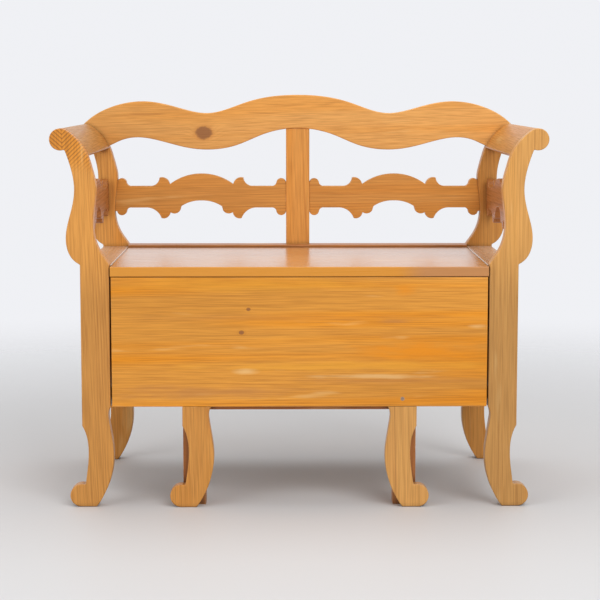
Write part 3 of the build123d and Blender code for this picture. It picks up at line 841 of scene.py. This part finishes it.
@dataclass
class PullOutFront(SubAssembly):
    """The front panel on its own legs, with the slats behind it."""

    body: str = "front"
    pull_slats: int = 4
    panel_heart: Point = (0.0, -0.2, 0.36)
    panel_knots: tuple[Knot, ...] = (Knot(-0.117, 0.36, 0.005), Knot(-0.103, 0.407, 0.004))
    panel_patches: tuple[Patch, ...] = (
        Patch((0.10, 0.291), (0.42, 0.014), Mark.GOLDEN, 0.55),
        Patch((-0.1, 0.455), (0.30, 0.018), Mark.GOLDEN, 0.4),
        Patch((-0.2, 0.238), (0.26, 0.017), Mark.SOILED, 0.5),
        Patch((0.16, 0.262), (0.24, 0.010), Mark.SOILED, 0.35),
        Patch((-0.05, 0.39), (0.40, 0.010), Mark.SOILED, 0.22),
        Patch((0.235, 0.324), (0.15, 0.022), Mark.STAINED, 0.85),
        Patch((0.212, 0.446), (0.03, 0.014), Mark.STAINED, 0.6),
        Patch((0.19, 0.382), (0.04, 0.005), Mark.SOILED, 0.5),
        Patch((0.15, 0.270), (0.14, 0.006), Mark.RUBBED, 0.55),
        Patch((-0.11, 0.280), (0.03, 0.007), Mark.RUBBED, 0.6),
        Patch((0.36, 0.372), (0.025, 0.006), Mark.RUBBED, 0.45),
    )
    slot_turn: float = 0.6

    def boards(self) -> list[Board]:
        """List the wooden pieces.

        Returns:
            Each board and its wood.
        """
        return [
            Board(
                "front_panel", GOLD, Grain.ACROSS, self.panel_heart, tone=1.04, tilt=0.006,
                knots=self.panel_knots, patches=self.panel_patches,
            ),
            Board("front_leg_left", HONEY, Grain.UPRIGHT, tone=0.9),
            Board("front_leg_right", PALE, Grain.UPRIGHT, tone=0.92),
            *both("leg_post", BROWN, Grain.UPRIGHT),
            Board("middle_ledger", BROWN, Grain.ACROSS),
            *both("side_ledger", BARE, Grain.ACROSS),
            *numbered("pull_slat", self.pull_slats),
            Board("pull_bearer", BARE, Grain.ACROSS),
        ]

    def build(self) -> None:
        """Model the screw in the panel."""
        low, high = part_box("panel_screw")
        middle = (low + high) / 2
        head = (middle.x, low.y, middle.z)
        screw = Screw(head, (0, -1, 0), high.y - low.y, self.slot_turn)
        self.fit_screws("slotted_panel_screw", "panel_screw", [screw])


@dataclass
class Lid(SubAssembly):
    """The seat board with its battens and their screws."""

    body: str = "lid"
    heart: Point = (0.0, -0.05, 0.42)
    screw_inset: float = 0.004
    slot_turn: float = 0.7

    def boards(self) -> list[Board]:
        """List the wooden pieces.

        Returns:
            Each board and its wood.
        """
        return [
            Board("lid_board", SEAT, Grain.ACROSS, self.heart, tilt=0.03, edge=FrontEdge()),
            *both("lid_batten", BARE, Grain.DEEP),
        ]

    def build(self) -> None:
        """Model the four screws in the battens."""
        low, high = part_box("lid_screws")
        inset = self.screw_inset
        places = [
            (x, y, low.z)
            for x in (low.x + inset, high.x - inset)
            for y in (low.y + inset, high.y - inset)
        ]
        screws = [
            Screw(place, (0, 0, -1), high.z - low.z, self.slot_turn * count)
            for count, place in enumerate(places)
        ]
        self.fit_screws("slotted_lid_screws", "lid_screws", screws)


@dataclass(frozen=True)
class Lamp:
    """A soft square lamp, by its place, side in metres and power in watts."""

    name: str
    place: Point
    side: float
    power: float

    def hang(self, target: Point) -> None:
        """Hang the lamp in the studio.

        Args:
            target: the point that it looks at.
        """
        data = bpy.data.lights.new(self.name, "AREA")
        data.size = self.side
        data.energy = self.power
        lamp = bpy.data.objects.new(self.name, data)
        lamp.location = self.place
        beam = Vector(target) - Vector(self.place)
        lamp.rotation_euler = beam.to_track_quat("-Z", "Y").to_euler()
        bpy.context.scene.collection.objects.link(lamp)


@dataclass
class Studio:
    """A pale floor, soft light before a white background, and the camera."""

    floor_side: float = 14.0
    floor_colour: Colour = (0.66, 0.66, 0.67)
    floor_roughness: float = 0.6
    floor_fade: Range = (0.7, 3.0)
    target: Point = (0.0, 0.0, 0.45)
    lamps: tuple[Lamp, ...] = (
        Lamp("key", (1.6, -3.2, 3.0), 2.6, 95.0),
        Lamp("fill", (-2.8, -2.6, 1.8), 2.6, 45.0),
        Lamp("top", (0.0, 0.6, 3.4), 3.0, 45.0),
    )
    ambient_colour: Colour = (1.0, 0.99, 0.97)
    ambient_strength: float = 0.42
    background: Colour = (0.87, 0.878, 0.91)
    camera_place: Point = (-0.031, -3.827, 0.849)
    camera_pitch: float = -6.75
    camera_yaw: float = -0.512
    sensor_width: float = 36.0
    lens: float = 107.2

    def build(self) -> None:
        """Lay the floor, hang the lamps, light the background and set the camera."""
        self.lay_floor()
        for lamp in self.lamps:
            lamp.hang(self.target)
        self.light_background()
        self.set_camera()

    def lay_floor(self) -> None:
        """Lay a floor that fades out all round the settle."""
        bpy.ops.object.select_all(action="DESELECT")
        bpy.ops.mesh.primitive_plane_add(size=self.floor_side)
        floor = bpy.context.object
        floor.name = "studio_floor"
        graph = Graph("studio_floor")
        away = graph.measure("LENGTH", graph.place)
        graph.feed_shader({
            "Base Color": (*self.floor_colour, 1.0),
            "Roughness": self.floor_roughness,
            "Alpha": graph.span(away, self.floor_fade, FALLING),
        })
        floor.data.materials.append(graph.material)

    def light_background(self) -> None:
        """Show a white background, and light the settle from all round by a dimmer one."""
        world = bpy.data.worlds.new("studio")
        world.use_nodes = True
        bpy.context.scene.world = world
        nodes, links = world.node_tree.nodes, world.node_tree.links
        path = nodes.new("ShaderNodeLightPath")
        seen = path.outputs["Is Camera Ray"]
        for name in ("Is Glossy Ray", "Is Transmission Ray"):
            either = nodes.new("ShaderNodeMath")
            either.operation = "MAXIMUM"
            links.new(seen, either.inputs[0])
            links.new(path.outputs[name], either.inputs[1])
            seen = either.outputs[0]
        ambient = nodes["Background"]
        ambient.inputs["Color"].default_value = (*self.ambient_colour, 1.0)
        ambient.inputs["Strength"].default_value = self.ambient_strength
        white = nodes.new("ShaderNodeBackground")
        white.inputs["Color"].default_value = (*self.background, 1.0)
        white.inputs["Strength"].default_value = 1.0
        choose = nodes.new("ShaderNodeMixShader")
        for number, output in enumerate((seen, ambient.outputs[0], white.outputs[0])):
            links.new(output, choose.inputs[number])
        links.new(choose.outputs[0], nodes["World Output"].inputs["Surface"])

    def set_camera(self) -> None:
        """Set the camera in front of the settle, a little above the crest and pitched down."""
        data = bpy.data.cameras.new("camera")
        data.sensor_width = self.sensor_width
        data.lens = self.lens
        camera = bpy.data.objects.new("camera", data)
        camera.location = self.camera_place
        pitch = math.radians(90.0 + self.camera_pitch)
        camera.rotation_euler = (pitch, 0.0, math.radians(self.camera_yaw))
        bpy.context.scene.collection.objects.link(camera)
        bpy.context.scene.camera = camera


def main() -> None:
    """Dress the settle, fit its screws and set the studio."""
    for group in (SettleFrame(), PullOutFront(), Lid()):
        group.dress()
        group.build()
    Studio().build()
    bpy.context.scene.view_settings.view_transform = "Standard"


if __name__ == "__main__":
    main()
